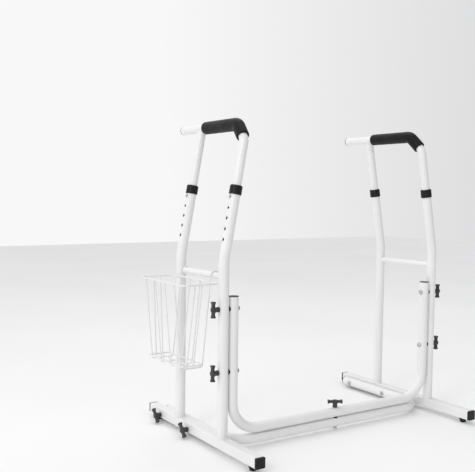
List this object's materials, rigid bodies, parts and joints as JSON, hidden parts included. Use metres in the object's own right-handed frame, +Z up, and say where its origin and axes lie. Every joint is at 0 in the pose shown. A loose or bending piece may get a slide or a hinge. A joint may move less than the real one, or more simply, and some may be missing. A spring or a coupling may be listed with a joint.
{
  "type": "toilet safety frame",
  "caption": "Free-standing tubular steel frame that stands round a toilet, with foam-gripped, height-adjustable arm rails on both sides, wing-knob joints and a hanging wire basket.",
  "frame": {"origin": "on the floor under the middle of the whole frame's box", "axes": "+X across the frame, from the basket side to the other side; +Y from the front to the rear; +Z up"},
  "size_m": [0.8412, 0.524, 0.7972],
  "materials": {
    "white_steel": "gloss powder coat",
    "white_wire": "gloss powder coat on wire",
    "black_plastic": "moulded, slightly textured",
    "knob_plastic": "moulded, satin",
    "foot_rubber": "matte",
    "grip_foam": "closed-cell foam, matte",
    "zinc_steel": "zinc plated",
    "spring_steel": "plain"
  },
  "bodies": {
    "frame": {"left_base_rail": "white_steel", "left_front_upright": "white_steel", "left_rear_upright": "white_steel", "left_cross_bar": "white_steel", "left_rail_caps": "black_plastic", "left_feet": "foot_rubber", "left_collars": "black_plastic", "left_upright_bolts": "zinc_steel", "left_rail_bolts": "zinc_steel", "left_upright_saddles": "black_plastic", "left_rail_saddles": "black_plastic", "right_base_rail": "white_steel", "right_front_upright": "white_steel", "right_rear_upright": "white_steel", "right_cross_bar": "white_steel", "right_rail_caps": "black_plastic", "right_feet": "foot_rubber", "right_collars": "black_plastic", "right_upright_bolts": "zinc_steel", "right_rail_bolts": "zinc_steel", "right_upright_saddles": "black_plastic", "right_rail_saddles": "black_plastic", "front_u_tube": "white_steel", "front_u_plugs": "black_plastic", "base_u_tube": "white_steel", "base_u_plugs": "black_plastic", "centre_bolt": "zinc_steel", "centre_saddle": "black_plastic"},
    "left_handle": {"left_handle_tube": "white_steel", "left_handle_rear_leg": "white_steel", "left_foam_grip": "grip_foam", "left_handle_plug": "black_plastic", "left_clip_springs": "spring_steel"},
    "left_front_button_body": {"left_front_button": "zinc_steel"},
    "left_rear_button_body": {"left_rear_button": "zinc_steel"},
    "left_upper_knob_body": {"left_upper_knob": "knob_plastic"},
    "left_lower_knob_body": {"left_lower_knob": "knob_plastic"},
    "left_rail_front_knob_body": {"left_rail_front_knob": "knob_plastic"},
    "left_rail_rear_knob_body": {"left_rail_rear_knob": "knob_plastic"},
    "right_handle": {"right_handle_tube": "white_steel", "right_handle_rear_leg": "white_steel", "right_foam_grip": "grip_foam", "right_handle_plug": "black_plastic", "right_clip_springs": "spring_steel"},
    "right_front_button_body": {"right_front_button": "zinc_steel"},
    "right_rear_button_body": {"right_rear_button": "zinc_steel"},
    "right_upper_knob_body": {"right_upper_knob": "knob_plastic"},
    "right_lower_knob_body": {"right_lower_knob": "knob_plastic"},
    "right_rail_front_knob_body": {"right_rail_front_knob": "knob_plastic"},
    "right_rail_rear_knob_body": {"right_rail_rear_knob": "knob_plastic"},
    "centre_knob_body": {"centre_knob": "knob_plastic"},
    "basket": {"basket_rims": "white_wire", "basket_cross_ribs": "white_wire", "basket_long_ribs": "white_wire", "basket_hook_ribs": "white_wire"}
  },
  "joints": [
    {"name": "left_handle_slide", "type": "slide", "parent": "frame", "child": "left_handle", "axis": [0.1805, 0, 0.9836], "range_m": [-0.1016, 0], "deforming": ["left_front_button", "left_rear_button"]},
    {"name": "left_front_button_press", "type": "slide", "parent": "left_handle", "child": "left_front_button_body", "axis": [0.9836, 0, -0.1805], "range_m": [0, 0.0036], "stiffness_N_per_m": 1500, "springref_m": -0.004, "deforming": ["left_clip_springs"]},
    {"name": "left_rear_button_press", "type": "slide", "parent": "left_handle", "child": "left_rear_button_body", "axis": [0.9836, 0, -0.1805], "range_m": [0, 0.0036], "stiffness_N_per_m": 1500, "springref_m": -0.004, "deforming": ["left_clip_springs"]},
    {"name": "left_upper_knob_turn", "type": "hinge", "parent": "frame", "child": "left_upper_knob_body", "pos_m": [-0.3196, -0.1, 0.345], "axis": [-1, 0, 0], "continuous": true},
    {"name": "left_lower_knob_turn", "type": "hinge", "parent": "frame", "child": "left_lower_knob_body", "pos_m": [-0.3196, -0.1, 0.195], "axis": [-1, 0, 0], "continuous": true},
    {"name": "left_rail_front_knob_turn", "type": "hinge", "parent": "frame", "child": "left_rail_front_knob_body", "pos_m": [-0.3196, 0.046, 0.021], "axis": [-1, 0, 0], "continuous": true},
    {"name": "left_rail_rear_knob_turn", "type": "hinge", "parent": "frame", "child": "left_rail_rear_knob_body", "pos_m": [-0.3196, 0.194, 0.021], "axis": [-1, 0, 0], "continuous": true},
    {"name": "right_handle_slide", "type": "slide", "parent": "frame", "child": "right_handle", "axis": [-0.1805, 0, 0.9836], "range_m": [-0.1016, 0], "deforming": ["right_front_button", "right_rear_button"]},
    {"name": "right_front_button_press", "type": "slide", "parent": "right_handle", "child": "right_front_button_body", "axis": [-0.9836, 0, -0.1805], "range_m": [0, 0.0036], "stiffness_N_per_m": 1500, "springref_m": -0.004, "deforming": ["right_clip_springs"]},
    {"name": "right_rear_button_press", "type": "slide", "parent": "right_handle", "child": "right_rear_button_body", "axis": [-0.9836, 0, -0.1805], "range_m": [0, 0.0036], "stiffness_N_per_m": 1500, "springref_m": -0.004, "deforming": ["right_clip_springs"]},
    {"name": "right_upper_knob_turn", "type": "hinge", "parent": "frame", "child": "right_upper_knob_body", "pos_m": [0.4006, -0.1, 0.345], "axis": [1, 0, 0], "continuous": true},
    {"name": "right_lower_knob_turn", "type": "hinge", "parent": "frame", "child": "right_lower_knob_body", "pos_m": [0.4006, -0.1, 0.195], "axis": [1, 0, 0], "continuous": true},
    {"name": "right_rail_front_knob_turn", "type": "hinge", "parent": "frame", "child": "right_rail_front_knob_body", "pos_m": [0.4006, 0.046, 0.021], "axis": [1, 0, 0], "continuous": true},
    {"name": "right_rail_rear_knob_turn", "type": "hinge", "parent": "frame", "child": "right_rail_rear_knob_body", "pos_m": [0.4006, 0.194, 0.021], "axis": [1, 0, 0], "continuous": true},
    {"name": "centre_knob_turn", "type": "hinge", "parent": "frame", "child": "centre_knob_body", "pos_m": [0.0405, -0.1, 0.0603], "axis": [0, 0, 1], "continuous": true},
    {"name": "basket_lift", "type": "slide", "parent": "frame", "child": "basket", "axis": [0, 0, 1], "range_m": [0, 0.08]}
  ]
}
